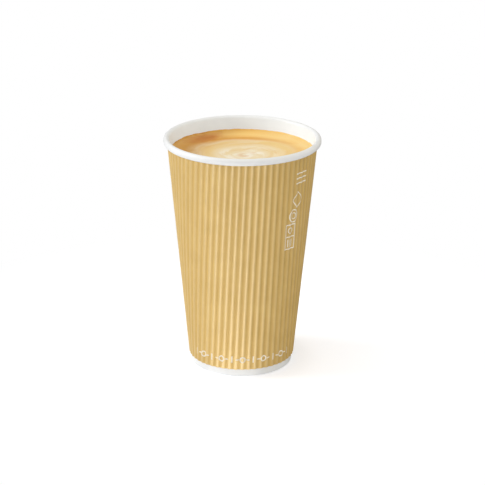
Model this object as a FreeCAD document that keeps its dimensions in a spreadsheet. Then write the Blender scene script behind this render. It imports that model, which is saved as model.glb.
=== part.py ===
import FreeCAD, Part
import math
import os
import Sketcher

# A paper coffee cup with a corrugated kraft wrap, filled almost to its rim.
# Millimetres, +Z up, origin on the table under the middle of the cup, front towards -Y.
# Angles round the cup are in degrees from +X towards +Y.

os.makedirs("parts", exist_ok=True)

DRIVING_SIZES = (
    ("cup_height", 136.0, "table to the top of the rim roll"),
    ("rim_diameter", 90.0, "outside of the rim roll"),
    ("taper_angle", 5.43, "lean of the wall from the vertical"),
    ("board", 0.4, "thickness of the wall's paperboard"),
    ("roll_radius", 1.6, "outside radius of the rim roll's bends"),
    ("roll_side", 0.8, "straight outer side of the rim roll"),
    ("roll_tuck", 135.0, "angle that the roll's lower bend turns back under"),
    ("hem_height", 6.5, "top of the board folded up inside the foot"),
    ("fold_radius", 0.35, "outside radius of the foot's two corners"),
    ("bond_gap", 0.04, "glue line between two layers of paper"),
    ("lap_width", 6.0, "overlap of the wall's glued side seam"),
    ("lap_direction", -90.0, "angle round the cup of the wall's side seam"),
    ("disc_height", 8.0, "top of the bottom disc above the table"),
    ("disc_board", 0.4, "thickness of the disc's paperboard"),
    ("disc_bend", 0.6, "outside radius of the disc's turned-down edge"),
    ("fill_height", 128.2, "surface of the drink above the table"),
    ("fill_gap", 0.05, "clearance between the drink and the paper"),
    ("wrap_bottom", 4.6, "lower edge of the corrugated wrap above the table"),
    ("wrap_headroom", 0.1, "gap between the wrap's upper edge and the rim roll"),
    ("wrap_paper", 0.3, "thickness of the wrap's paper"),
    ("flute_pitch", 3.65, "distance from groove to groove, measured in the flat blank"),
    ("flute_depth", 0.6, "height of a ridge above a groove"),
    ("flute_fade", 5.0, "width over which the flutes run out beside the crushed seam"),
    ("wrap_lap_angle", 10.0, "overlap of the wrap's glued seam, round the cup"),
    ("wrap_ramp_angle", 3.0, "stretch that lifts the outer end over the inner end"),
    ("wrap_edge_angle", 2.0, "flat stretch between that ramp and the flutes"),
    ("blank_middle", -64.6, "angle round the cup of the blank's middle groove"),
)

FLUTE_FACETS = 4
LAP_FACETS = 3
LONGEST_SPAN = 32.0
SHORTEST_CURVE = 3.0
SEW_TOLERANCE = 0.001

document = FreeCAD.newDocument("paper_coffee_cup")


def make_sheet():
    """Write the driving sizes to a spreadsheet, one named cell each."""
    sheet = document.addObject("Spreadsheet::Sheet", "sizes")
    for row, (name, value, meaning) in enumerate(DRIVING_SIZES, start=1):
        sheet.set(f"A{row}", name)
        sheet.set(f"B{row}", str(value))
        sheet.set(f"C{row}", meaning)
        sheet.setAlias(f"B{row}", name)
    document.recompute()
    return sheet


sizes = make_sheet()


def value_of(expression):
    """The number that an expression over the sheet's cells comes to."""
    result = sizes.evalExpression(expression)
    return float(getattr(result, "Value", result))


def wall_radius(height, inset):
    """Radius, at a height, of the cone that lies inset inside the wall's outer face, as an expression."""
    roll_centre = "(sizes.rim_diameter / 2 - sizes.roll_radius)"
    reach = f"(sizes.roll_radius - sizes.board + {inset}) / cos(sizes.taper_angle * 1 deg)"
    drop = f"(sizes.cup_height - sizes.roll_radius - {height}) * tan(sizes.taper_angle * 1 deg)"
    return f"({roll_centre} - {reach} - {drop})"


def make_body(label):
    body = document.addObject("PartDesign::Body", label)
    body.Label = label
    return body


def make_section_sketch(body, name, direction=None):
    """A sketch on the upright plane through the axis, turned round the axis if a direction is given."""
    sketch = body.newObject("Sketcher::SketchObject", name)
    plane = next(item for item in body.Origin.OriginFeatures if item.Role == "XZ_Plane")
    sketch.AttachmentSupport = [(plane, "")]
    sketch.MapMode = "FlatFace"
    if direction:
        turn = FreeCAD.Rotation(FreeCAD.Vector(0, 1, 0), value_of(direction))
        sketch.AttachmentOffset = FreeCAD.Placement(FreeCAD.Vector(), turn)
        sketch.setExpression("AttachmentOffset.Rotation.Angle", f"{direction} * 1 deg")
    return sketch


def dimension(sketch, name, kind, items, expression):
    """Add one named constraint whose value follows an expression over the sheet."""
    amount = value_of(expression)
    if kind == "Angle":
        amount = math.radians(amount)
        expression = f"({expression}) * 1 deg"
    index = sketch.addConstraint(Sketcher.Constraint(kind, *items, amount))
    sketch.renameConstraint(index, name)
    sketch.setExpression(f"Constraints.{name}", expression)


def draw_polygon(sketch, corners):
    """Draw a closed outline whose corners are (name, radius, height), the last two as expressions."""
    places = [FreeCAD.Vector(value_of(radius), value_of(height), 0) for _, radius, height in corners]
    for start, end in zip(places, places[1:] + places[:1]):
        sketch.addGeometry(Part.LineSegment(start, end))
    for index, (name, radius, height) in enumerate(corners):
        before = index - 1 if index else len(corners) - 1
        sketch.addConstraint(Sketcher.Constraint("Coincident", before, 2, index, 1))
        if radius == "0":
            sketch.addConstraint(Sketcher.Constraint("PointOnObject", index, 1, -2))
        else:
            dimension(sketch, f"{name}_radius", "DistanceX", (-1, 1, index, 1), radius)
        dimension(sketch, f"{name}_height", "DistanceY", (-1, 1, index, 1), height)


def revolve(body, name, sketch, kind="PartDesign::Revolution", angle=None):
    """Turn a section sketch round the cup's axis, all the way or over an angle centred on the sketch."""
    feature = body.newObject(kind, name)
    feature.Profile = sketch
    feature.ReferenceAxis = (sketch, ["V_Axis"])
    if angle:
        feature.Midplane = True
        feature.setExpression("Angle", f"{angle} * 1 deg")
    else:
        feature.Angle = 360
    body.Tip = feature
    return feature


def draw_wall_section(sketch):
    """The board's section: foot fold, leaning wall and rolled rim, every bend tangent to its neighbours."""
    lean = math.radians(value_of("sizes.taper_angle"))
    tuck = math.radians(value_of("sizes.roll_tuck"))
    board = value_of("sizes.board")
    outer = value_of("sizes.roll_radius")
    inner = outer - board
    fold = value_of("sizes.fold_radius")
    hem = value_of("sizes.hem_height")
    pocket = value_of("sizes.board + sizes.disc_board + 2 * sizes.bond_gap")
    top = FreeCAD.Vector(value_of("sizes.rim_diameter / 2 - sizes.roll_radius"),
                         value_of("sizes.cup_height - sizes.roll_radius"), 0)
    low = top - FreeCAD.Vector(0, value_of("sizes.roll_side"), 0)

    def at(inset, height):
        return FreeCAD.Vector(value_of(wall_radius(height, inset)), height, 0)

    def on(centre, radius, angle):
        return centre + FreeCAD.Vector(math.cos(angle), math.sin(angle), 0) * radius

    def arc(centre, radius, first, last):
        return Part.ArcOfCircle(Part.Circle(centre, FreeCAD.Vector(0, 0, 1), radius), first, last)

    wall_turn = math.pi - lean
    slack = fold * (1 - math.sin(lean)) / math.cos(lean)
    outer_foot = at(0, 0) - FreeCAD.Vector(slack, -fold, 0)
    inner_foot = at(pocket + board, 0) + FreeCAD.Vector(fold, fold, 0)
    sketch.addGeometry([
        Part.LineSegment(on(outer_foot, fold, -lean), on(top, inner, wall_turn)),
        arc(top, inner, 0, wall_turn),
        Part.LineSegment(on(top, inner, 0), on(low, inner, 0)),
        arc(low, inner, -tuck, 0),
        Part.LineSegment(on(low, inner, -tuck), on(low, outer, -tuck)),
        arc(low, outer, -tuck, 0),
        Part.LineSegment(on(low, outer, 0), on(top, outer, 0)),
        arc(top, outer, 0, wall_turn),
        Part.LineSegment(on(top, outer, wall_turn), at(board, board)),
        Part.LineSegment(at(board, board), at(pocket, board)),
        Part.LineSegment(at(pocket, board), at(pocket, hem)),
        Part.LineSegment(at(pocket, hem), at(pocket + board, hem)),
        Part.LineSegment(at(pocket + board, hem), on(inner_foot, fold, wall_turn)),
        arc(inner_foot, fold, wall_turn, 1.5 * math.pi),
        Part.LineSegment(on(inner_foot, fold, -math.pi / 2), on(outer_foot, fold, -math.pi / 2)),
        arc(outer_foot, fold, 1.5 * math.pi, 2 * math.pi - lean),
    ])
    names = ("wall_outside", "top_bend_inside", "side_inside", "low_bend_inside", "tip", "low_bend_outside",
             "side_outside", "top_bend_outside", "wall_inside", "pocket_floor", "pocket_face", "hem_top",
             "hem_inside", "inner_corner", "foot", "outer_corner")
    line = {name: index for index, name in enumerate(names)}
    smooth = (("wall_outside", 2, "top_bend_inside", 2), ("top_bend_inside", 1, "side_inside", 1),
              ("side_inside", 2, "low_bend_inside", 2), ("low_bend_outside", 2, "side_outside", 1),
              ("side_outside", 2, "top_bend_outside", 1), ("top_bend_outside", 2, "wall_inside", 1),
              ("hem_inside", 2, "inner_corner", 1), ("inner_corner", 2, "foot", 1),
              ("foot", 2, "outer_corner", 1), ("outer_corner", 2, "wall_outside", 1))
    sharp = (("low_bend_inside", 1, "tip", 1), ("tip", 2, "low_bend_outside", 1),
             ("wall_inside", 2, "pocket_floor", 1), ("pocket_floor", 2, "pocket_face", 1),
             ("pocket_face", 2, "hem_top", 1), ("hem_top", 2, "hem_inside", 1),
             ("top_bend_inside", 3, "top_bend_outside", 3), ("low_bend_inside", 3, "low_bend_outside", 3))
    for kind, joints in (("Tangent", smooth), ("Coincident", sharp)):
        for first, first_end, second, second_end in joints:
            sketch.addConstraint(Sketcher.Constraint(kind, line[first], first_end, line[second], second_end))
    for kind, first, second in (("Equal", "top_bend_inside", "low_bend_inside"),
                                ("Equal", "top_bend_outside", "low_bend_outside"),
                                ("Equal", "inner_corner", "outer_corner"),
                                ("Parallel", "wall_inside", "wall_outside"),
                                ("Parallel", "pocket_face", "wall_outside"),
                                ("Parallel", "hem_inside", "wall_outside")):
        sketch.addConstraint(Sketcher.Constraint(kind, line[first], line[second]))
    sketch.addConstraint(Sketcher.Constraint("Vertical", line["side_outside"]))
    for name in ("pocket_floor", "hem_top", "foot"):
        sketch.addConstraint(Sketcher.Constraint("Horizontal", line[name]))
    sketch.addConstraint(Sketcher.Constraint("PointOnObject", line["foot"], 1, -1))
    sketch.addConstraint(Sketcher.Constraint("PointOnObject", line["low_bend_outside"], 3, line["tip"]))

    centre = (-1, 1, line["top_bend_outside"], 3)
    dimension(sketch, "roll_centre_radius", "DistanceX", centre, "sizes.rim_diameter / 2 - sizes.roll_radius")
    dimension(sketch, "roll_centre_height", "DistanceY", centre, "sizes.cup_height - sizes.roll_radius")
    dimension(sketch, "side_height", "DistanceY",
              (line["low_bend_outside"], 3, line["top_bend_outside"], 3), "sizes.roll_side")
    dimension(sketch, "bend_outside", "Radius", (line["top_bend_outside"],), "sizes.roll_radius")
    dimension(sketch, "bend_inside", "Radius", (line["top_bend_inside"],), "sizes.roll_radius - sizes.board")
    dimension(sketch, "tuck", "Angle", (line["tip"],), "-sizes.roll_tuck")
    dimension(sketch, "lean", "Angle", (line["wall_outside"],), "90 - sizes.taper_angle")
    dimension(sketch, "floor_height", "DistanceY", (-1, 1, line["pocket_floor"], 1), "sizes.board")
    dimension(sketch, "hem_top_height", "DistanceY", (-1, 1, line["hem_top"], 1), "sizes.hem_height")
    dimension(sketch, "pocket_inset", "Distance", (line["pocket_face"], 1, line["wall_outside"]),
              "sizes.board + sizes.disc_board + 2 * sizes.bond_gap")
    dimension(sketch, "hem_inset", "Distance", (line["hem_inside"], 1, line["wall_outside"]),
              "2 * sizes.board + sizes.disc_board + 2 * sizes.bond_gap")
    dimension(sketch, "corner", "Radius", (line["inner_corner"],), "sizes.fold_radius")


LAP_BOTTOM = "(sizes.disc_height + sizes.bond_gap)"
LAP_TOP = "(sizes.cup_height - sizes.roll_radius)"
LAP_ANGLE = "(sizes.lap_width / (sizes.rim_diameter / 2) * 180 / pi)"


def make_cup_wall():
    """One board: a cone with a foot fold, a rolled rim and a second layer along its glued side seam."""
    body = make_body("cup_wall")
    section = make_section_sketch(body, "wall_section")
    draw_wall_section(section)
    revolve(body, "wall", section)
    lap = make_section_sketch(body, "lap_section", "sizes.lap_direction")
    draw_polygon(lap, (
        ("buried_foot", wall_radius(LAP_BOTTOM, "sizes.board / 2"), LAP_BOTTOM),
        ("buried_top", wall_radius(LAP_TOP, "sizes.board / 2"), LAP_TOP),
        ("inner_top", wall_radius(LAP_TOP, "2 * sizes.board"), LAP_TOP),
        ("inner_foot", wall_radius(LAP_BOTTOM, "2 * sizes.board"), LAP_BOTTOM),
    ))
    revolve(body, "side_seam", lap, angle=LAP_ANGLE)
    return body


def make_bottom_disc():
    """A disc whose edge is turned down into the foot's pocket."""
    under = "(sizes.disc_height - sizes.disc_board)"
    foot = "(sizes.board + sizes.bond_gap)"
    outer = "(sizes.board + sizes.bond_gap)"
    inner = "(sizes.board + sizes.bond_gap + sizes.disc_board)"
    body = make_body("bottom_disc")
    section = make_section_sketch(body, "disc_section")
    draw_polygon(section, (
        ("middle_under", "0", under),
        ("skirt_root", wall_radius(under, inner), under),
        ("skirt_inner", wall_radius(foot, inner), foot),
        ("skirt_outer", wall_radius(foot, outer), foot),
        ("shoulder", wall_radius("sizes.disc_height", outer), "sizes.disc_height"),
        ("middle_top", "0", "sizes.disc_height"),
    ))
    disc = revolve(body, "disc", section)
    document.recompute()
    bend = body.newObject("PartDesign::Fillet", "turned_edge")
    bend.Base = (disc, [edge_at(disc.Shape, value_of(wall_radius("sizes.disc_height", outer)))])
    bend.setExpression("Radius", "sizes.disc_bend")
    body.Tip = bend
    return body


def edge_at(shape, radius):
    """Name of the highest circular edge of that radius."""
    matches = []
    for index, edge in enumerate(shape.Edges, start=1):
        if isinstance(edge.Curve, Part.Circle) and abs(edge.Curve.Radius - radius) < SEW_TOLERANCE:
            matches.append((edge.Curve.Center.z, f"Edge{index}"))
    return max(matches)[1]


def make_coffee():
    """The drink: it fills the cup from the disc to its surface, and stands clear of the wall's side seam."""
    floor = "(sizes.disc_height + sizes.fill_gap)"
    wet = "(sizes.board + sizes.fill_gap)"
    body = make_body("coffee")
    section = make_section_sketch(body, "drink_section")
    draw_polygon(section, (
        ("middle_floor", "0", floor),
        ("edge_floor", wall_radius(floor, wet), floor),
        ("edge_top", wall_radius("sizes.fill_height", wet), "sizes.fill_height"),
        ("middle_top", "0", "sizes.fill_height"),
    ))
    revolve(body, "drink", section)
    seam_inset = "(2 * sizes.board + sizes.fill_gap)"
    below = f"({floor} - sizes.board)"
    above = "(sizes.fill_height + sizes.board)"
    relief = make_section_sketch(body, "seam_relief_section", "sizes.lap_direction")
    draw_polygon(relief, (
        ("outer_foot", wall_radius(below, "0"), below),
        ("outer_top", wall_radius(above, "0"), above),
        ("inner_top", wall_radius(above, seam_inset), above),
        ("inner_foot", wall_radius(below, seam_inset), below),
    ))
    relief_angle = f"({LAP_ANGLE} + 2 * sizes.fill_gap / (sizes.rim_diameter / 3) * 180 / pi)"
    revolve(body, "seam_relief", relief, "PartDesign::Groove", relief_angle)
    return body


class Wrap:
    """The corrugated wrap, laid out in its flat fan-shaped blank and rolled onto the wall's cone.

    A place on the sheet is a slant distance from the cone's tip and either a distance from the blank's
    middle line, which flutes keep along their whole length, or an angle round the cup from that line.
    """

    def __init__(self):
        self.lean = math.radians(value_of("sizes.taper_angle"))
        self.tip_height = -value_of(wall_radius("0", "0")) / math.tan(self.lean)
        self.low = value_of("sizes.wrap_bottom")
        self.high = value_of("sizes.cup_height - 2 * sizes.roll_radius - sizes.roll_side"
                             " - sizes.wrap_headroom")
        self.paper = value_of("sizes.wrap_paper")
        self.bed = value_of("sizes.bond_gap + sizes.wrap_paper / 2")
        self.lap_lift = value_of("sizes.wrap_paper + sizes.bond_gap")
        self.pitch = value_of("sizes.flute_pitch")
        self.depth = value_of("sizes.flute_depth")
        self.fade = value_of("sizes.flute_fade")
        self.middle = math.radians(value_of("sizes.blank_middle"))
        lap = value_of("sizes.wrap_lap_angle")
        ramp = value_of("sizes.wrap_ramp_angle")
        self.sheet_end = 180 + lap / 2
        self.lap_start = 180 - lap / 2
        self.ramp_start = self.lap_start - ramp
        self.flutes_end = self.ramp_start - value_of("sizes.wrap_edge_angle")
        self.fan_edge = math.radians(self.flutes_end) * math.sin(self.lean)

    def slant(self, height):
        return (height - self.tip_height) / math.cos(self.lean)

    def height(self, slant):
        return slant * math.cos(self.lean) + self.tip_height

    def point(self, height, angle, off_wall):
        """A point at a height, an angle in radians from the blank's middle, and a distance off the wall."""
        radius = (height - self.tip_height) * math.tan(self.lean) + off_wall / math.cos(self.lean)
        turn = self.middle + angle
        return FreeCAD.Vector(radius * math.cos(turn), radius * math.sin(turn), height)

    def lift(self, across, slant):
        """How far the sheet's middle stands off its bed there: a wave that fades out beside the seam.

        Facet edges lie half a facet from the wave's crests and hollows, whose flats take the full depth.
        The corner at the seam can lie on such a flat, which the wave is cut off at.
        """
        crest = math.cos(math.pi / FLUTE_FACETS)
        height = (1 - math.cos(2 * math.pi * across / self.pitch) / crest) / 2
        wave = self.depth * min(max(height, 0), 1)
        to_edge = slant * (self.fan_edge - abs(math.asin(across / slant)))
        share = min(max(to_edge / self.fade, 0), 1)
        return wave * share * share * (3 - 2 * share)

    def flute_line(self, across, side):
        """The edge at one distance from the blank's middle line, on the sheet's outer or inner face."""
        top = self.slant(self.high)
        start = max(self.slant(self.low), abs(across) / math.sin(self.fan_edge))
        length = top - start
        count = 2 if length < SHORTEST_CURVE else math.ceil(length / LONGEST_SPAN) + 2
        points = []
        for index in range(count):
            share = index / (count - 1)
            slant = start + length * share * (1 + share) / 2
            angle = math.asin(across / slant) / math.sin(self.lean)
            off_wall = self.bed + self.lift(across, slant) + side * self.paper / 2
            points.append(self.point(self.height(slant), angle, off_wall))
        if count == 2:
            return Part.makeLine(points[0], points[1])
        curve = Part.BSplineCurve()
        curve.interpolate(points)
        return curve.toShape()

    def seam_line(self, degrees, side, lifted):
        """A straight edge up the cone in the flat stretch beside or in the glued seam."""
        off_wall = self.bed + (self.lap_lift if lifted else 0) + side * self.paper / 2
        angle = math.radians(degrees)
        return Part.makeLine(self.point(self.low, angle, off_wall), self.point(self.high, angle, off_wall))

    def flute_places(self):
        """Distances of the facets' edges, and of the corner at the seam, from the blank's middle line."""
        corner = self.slant(self.low) * math.sin(self.fan_edge)
        widest = self.slant(self.high) * math.sin(self.fan_edge)
        step = self.pitch / FLUTE_FACETS
        most = int(widest / step - 0.5)
        places = [(index + 0.5) * step for index in range(-most - 1, most + 1)]
        places = [place for place in places if abs(abs(place) - corner) > step / 4]
        return sorted(places + [-corner, corner])

    def seam_angles(self):
        """Angles of the straight edges from the end of the flutes to the sheet's end."""
        lap = [self.lap_start + (self.sheet_end - self.lap_start) * index / LAP_FACETS
               for index in range(LAP_FACETS + 1)]
        return [self.flutes_end, self.ramp_start] + lap

    def face_strips(self, side):
        """All strips of one face of the sheet, and its edge lines from the inner to the outer end."""
        flutes = [self.flute_line(place, side) for place in self.flute_places()]
        strips = [Part.makeRuledSurface(first, second) for first, second in zip(flutes, flutes[1:])]
        lines = list(flutes)
        for direction in (-1, 1):
            seam = []
            for index, degrees in enumerate(self.seam_angles()):
                seam.append(self.seam_line(direction * degrees, side, direction > 0 and index > 1))
            strips += [Part.makeRuledSurface(first, second) for first, second in zip(seam[1:], seam[2:])]
            strips.append(self.edge_facet(flutes, seam[0], seam[1], direction))
            strips.append(self.corner_facet(flutes[0 if direction < 0 else -1], seam[0]))
            lines = lines + seam[1:] if direction > 0 else seam[:0:-1] + lines
        return strips, lines

    def edge_facet(self, flutes, border, beyond, direction):
        """The flat facet beside the flutes, with a corner where each flute edge meets it."""
        feet = [line.Vertexes[0].Point for line in flutes]
        stops = [foot for foot in feet
                 if direction * self.turn_to(foot) > 0 and foot.z > self.low + SEW_TOLERANCE]
        stops.sort(key=lambda foot: foot.z)
        low, high = (vertex.Point for vertex in border.Vertexes)
        beyond_low, beyond_high = (vertex.Point for vertex in beyond.Vertexes)
        return Part.Face(Part.makePolygon([low] + stops + [high, beyond_high, beyond_low, low]))

    def corner_facet(self, last_flute, border):
        """The small triangle between the last flute edge, the seam's border and the sheet's upper edge."""
        corners = [last_flute.Vertexes[0].Point, last_flute.Vertexes[1].Point, border.Vertexes[1].Point]
        return Part.Face(Part.makePolygon(corners + corners[:1]))

    def turn_to(self, place):
        """Signed angle from the blank's middle to a place."""
        turn = math.atan2(place.y, place.x) - self.middle
        return math.atan2(math.sin(turn), math.cos(turn))

    def solid(self):
        outer_strips, outer_lines = self.face_strips(1)
        inner_strips, inner_lines = self.face_strips(-1)
        faces = outer_strips + inner_strips
        faces.append(Part.makeRuledSurface(outer_lines[0], inner_lines[0]))
        faces.append(Part.makeRuledSurface(outer_lines[-1], inner_lines[-1]))
        faces += self.edge_faces(outer_lines, inner_lines)
        sheet = Part.makeCompound(faces)
        sheet.sewShape(SEW_TOLERANCE)
        solid = Part.Solid(sheet.Shells[0])
        if solid.Volume < 0:
            solid.reverse()
        return solid

    def edge_faces(self, outer_lines, inner_lines):
        """The sheet's cut lower and upper edges, each one flat outline."""
        faces = []
        for end, level in ((0, self.low), (1, self.high)):
            outer = self.level_points(outer_lines, end, level, 1)
            inner = self.level_points(inner_lines, end, level, -1)
            outline = outer + inner[::-1]
            faces.append(Part.Face(Part.makePolygon(outline + outline[:1])))
        return faces

    def level_points(self, lines, end, level, side):
        """Where the lines meet a level, with the corners between flutes and seam put in their order."""
        points = [line.Vertexes[end].Point for line in lines]
        points = [point for point in points if abs(point.z - level) < SEW_TOLERANCE]
        if end == 1:
            seam = len(self.seam_angles()) - 1
            off_wall = self.bed + side * self.paper / 2
            border = math.radians(self.flutes_end)
            points.insert(seam, self.point(level, -border, off_wall))
            points.insert(len(points) - seam, self.point(level, border, off_wall))
        return points


def make_ripple_sleeve():
    """One corrugated sheet rolled round the wall, its outer end glued over its inner end."""
    feature = document.addObject("Part::Feature", "ripple_sleeve")
    feature.Label = "ripple_sleeve"
    feature.Shape = Wrap().solid()
    feature.Placement = FreeCAD.Placement()
    return feature


def check_and_export(parts):
    """Stop on any failed object or unsound solid, then write each part to a file of its own name."""
    document.recompute()
    for item in document.Objects:
        if "Invalid" in item.State or "Error" in item.State:
            raise RuntimeError(f"{item.Name} failed: {item.State}")
        if item.TypeId == "Sketcher::SketchObject" and not item.FullyConstrained:
            raise RuntimeError(f"{item.Name} isn't fully constrained")
    for part in parts:
        if part.Shape.isNull() or not part.Shape.isValid() or len(part.Shape.Solids) != 1:
            raise RuntimeError(f"{part.Label} isn't one sound solid")
        part.Shape.exportStep(f"parts/{part.Label}.step")
        print(f"{part.Label}: {part.Shape.Volume:.1f} cubic mm, {len(part.Shape.Faces)} faces")


check_and_export([make_cup_wall(), make_bottom_disc(), make_ripple_sleeve(), make_coffee()])
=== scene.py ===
import math
from types import SimpleNamespace

import bpy
from mathutils import Matrix, Vector, noise


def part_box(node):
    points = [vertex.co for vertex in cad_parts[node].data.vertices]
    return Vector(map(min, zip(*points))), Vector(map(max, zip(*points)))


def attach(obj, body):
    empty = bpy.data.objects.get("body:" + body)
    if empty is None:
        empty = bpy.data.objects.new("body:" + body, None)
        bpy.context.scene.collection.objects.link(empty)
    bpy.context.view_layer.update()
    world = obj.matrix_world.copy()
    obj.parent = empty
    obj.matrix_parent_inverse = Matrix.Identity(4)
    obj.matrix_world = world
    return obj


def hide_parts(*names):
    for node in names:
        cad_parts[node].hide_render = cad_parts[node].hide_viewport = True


# A filled paper coffee cup with a corrugated kraft wrap. Metres, +Z up, front towards -Y.
# The wrap's sheet is described in its flat fan-shaped blank: "across" is the distance from the blank's
# middle line, which a flute keeps along its whole length, and "slant" the distance from the cone's tip.

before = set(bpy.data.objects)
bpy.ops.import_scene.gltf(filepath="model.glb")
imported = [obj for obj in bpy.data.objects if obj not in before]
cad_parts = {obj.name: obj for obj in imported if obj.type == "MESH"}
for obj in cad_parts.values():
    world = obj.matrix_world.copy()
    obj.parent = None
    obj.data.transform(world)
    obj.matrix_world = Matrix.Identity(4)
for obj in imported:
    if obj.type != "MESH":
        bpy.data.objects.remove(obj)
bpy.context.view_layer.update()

MM = 0.001
FULL_TURN = 2 * math.pi
WHITE = (1.0, 1.0, 1.0, 1.0)

# The cup's sizes, as the solids have them
CUP_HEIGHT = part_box("cup_wall")[1][2]
WRAP_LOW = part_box("ripple_sleeve")[0][2]
WRAP_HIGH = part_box("ripple_sleeve")[1][2]
DRINK_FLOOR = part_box("coffee")[0][2]
DRINK_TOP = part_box("coffee")[1][2]
DISC_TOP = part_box("bottom_disc")[1][2]
RIM_RADIUS = 45.0 * MM
LEAN = math.radians(5.43)
BOARD = 0.4 * MM
DISC_BOARD = 0.4 * MM
BOND_GAP = 0.04 * MM
ROLL_RADIUS = 1.6 * MM
ROLL_SIDE = 0.8 * MM
ROLL_TUCK = math.radians(135)
FOLD_RADIUS = 0.35 * MM
HEM_HEIGHT = 6.5 * MM
LAP_WIDTH = 6.0 * MM
LAP_DIRECTION = math.radians(-90)
LAP_HALF_ANGLE = LAP_WIDTH / 2 / RIM_RADIUS
DRINK_GAP = 0.05 * MM

# The corrugated wrap
WRAP_PAPER = 0.3 * MM
FLUTE_PITCH = 3.65 * MM
FLUTE_DEPTH = 0.56 * MM
RIDGE_FULLNESS = 0.85
FLUTE_FADE = 5.0 * MM
BLANK_MIDDLE = math.radians(-64.6)
SHEET_END = math.radians(185)
LAP_START = math.radians(175)
RAMP_START = math.radians(172)
FLUTES_END = math.radians(170)

# The plain white print, placed by angle round the cup in degrees
INK_LIFT = 0.03 * MM
INK_CELL = 0.25 * MM
ROW_START = -146.0
ROW_END = -31.0
ROW_MARKS = 21
ROW_RISE = 6.3 * MM
ROW_STROKE = 0.75 * MM
ROW_BAR = 4.2 * MM
ROW_DASH = 1.7 * MM
ROW_RING = (2.9 * MM, 3.3 * MM)
COLUMN_STROKE = 0.7 * MM
# Each mark of the column: angle, height above the table, kind, width and own height
COLUMN_MARKS = (
    (-36.0, 119.7 * MM, "bars", 9.6 * MM, 7.4 * MM),
    (-38.9, 106.7 * MM, "rhombus", 7.2 * MM, 9.7 * MM),
    (-42.3, 97.4 * MM, "ring", 6.2 * MM, 7.4 * MM),
    (-44.5, 85.0 * MM, "frame", 7.4 * MM, 15.6 * MM),
)

# The small unevenness of the board, the foam and the drink's edge
CRIMP_TEETH = 72
CRIMP_DEPTH = 0.09 * MM
CRIMP_START = 1.2 * MM
CRIMP_RISE = 1.0 * MM
CRIMP_FALL = 0.4 * MM
RIM_WANDER = 0.10 * MM
RIM_WAVES = 2.2
LAP_EDGE_ANGLE = 0.008
LAP_FADE = 2.0 * MM
MENISCUS_RISE = 0.45 * MM
MENISCUS_WIDTH = 1.6 * MM
MENISCUS_STEEPNESS = 2.2
FOAM_RELIEF = 0.096 * MM
FOAM_PATCH = 9 * MM

# How finely the meshes are cut
ROUND_STEPS = 360
BEND_STEP = math.radians(9)
CUT_COLUMNS = 120
FULL_COLUMNS = 612
SLANT_ROWS = 18
SEAM_COLUMNS = 15
RING_TURNS = 48
SMALL_RING_TURNS = 24
OUTSIDE_ROWS = 20
INSIDE_ROWS = 32
HEM_ROWS = 6
DRINK_RINGS = 64
DRINK_CROWDING = 1.6
DRINK_SIDE_ROWS = 12
WRAP_SEW_DISTANCE = 0.002 * MM
INK_SEW_DISTANCE = 0.001 * MM
WRAP_CREASE = math.radians(50)
TURNED_CREASE = math.radians(40)

# The photograph's camera, fitted to the rim, wrap and foot outlines
CAMERA_ELEVATION = math.radians(19.956)
CAMERA_DISTANCE = 1.0826
CAMERA_ROLL = math.radians(0.302)
CAMERA_TARGET = Vector((0.396 * MM, 0, 71.66 * MM))
CAMERA_LENS = 138.33
SENSOR_WIDTH = 36
SIGHT_END = 20

# The light: one lamp from the far left, a soft room and what the table gives back, partly as a painted glow
# in reflections
LAMP_PLACE = (-1.37, 0.03, 0.60)
LAMP_SIZE = 0.6
LAMP_POWER = 10.7
ROOM_LIGHT = 0.34
OVERHEAD_LIGHT = 0.72
FRONT_LIGHT = 0.21
FILL_LIGHT = 0.31
FILL_COLOUR = (1.0, 0.955, 0.86, 1.0)
FILL_COLOUR_START = 0.1
FILL_COLOUR_BLEND = 0.8
BOUNCE_MUTING = 0.85
FLOOR_COLOUR = (0.85, 0.865, 0.91, 1.0)
FLOOR_LIFT = 0.31
FOOT_SHADE = 0.07
FOOT_SHADE_END = 50 * MM
FOOT_SHADE_BLUR = 22 * MM
BACKDROP_START = 80 * MM
BACKDROP_BLEND = 140 * MM
# The table's painted glow, as reflections see it
TABLE_SHEEN = 1.2
SHEEN_LEVEL = 0.4
SHEEN_LEAN = 0.4
SHEEN_PEAK = 3.2
PEAK_AHEAD = 0.98
PEAK_LEFT = 0.17
PEAK_START = 0.75
FLOOR_RADIUS = 0.9
FLOOR_RINGS = 24
FLOOR_STEPS = 96
FLOOR_DROP = 0.02 * MM

# How fine the fibres and the flecks of each paper are
KRAFT_GRAIN = (1500.0, 2600.0)
COATED_GRAIN = (420.0, 1200.0)
BOARD_GRAIN = (600.0, 1500.0)

# Colours, as written for the screen
KRAFT_TONES = ((0.3, "CFAE59"), (0.5, "D2B15F"), (0.72, "D6B665"))
KRAFT_FIBRES = ((0.3, "666666"), (0.7, "9A9A9A"))
# The groove tint is painted shade, multiplied into the flutes' grooves
KRAFT_GROOVE_SHADE = "DDC49C"
KRAFT_FLECK = "B08A4E"
COATED_TONES = ((0.3, "E8E9E9"), (0.7, "EEEFEE"))
BOARD_TONES = ((0.3, "E6E6E3"), (0.7, "F0F0EE"))
BOARD_FLECK = "CFC9BC"
INK_TONES = ((0.3, "E6D9BC"), (0.55, "F3ECDC"), (0.8, "F8F4EA"))
CREMA_RINGS = ((0.0, "EEE2CA"), (0.2, "EBD7AC"), (0.42, "E8CA8D"), (0.62, "E6C17B"), (0.70, "E2AB50"),
               (0.76, "EEBA60"), (0.84, "F4CA77"), (0.92, "F0BF63"), (1.0, "ECB75C"))
MILK_FOAM = "F6EEDD"
TAN_STREAK = "E0AF66"
CURL_TAN = "DDB074"
BACK_RING = "DD9C3C"
BACK_PATCH = "C8620C"
# Painted shade for the drink's left side and painted light for its right side
LEFT_SHADE_BROWN = "BB7E2A"
RIGHT_LIT_CREAM = "F6D894"
BOUNCED_WHITE = "F0EFEC"

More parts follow.
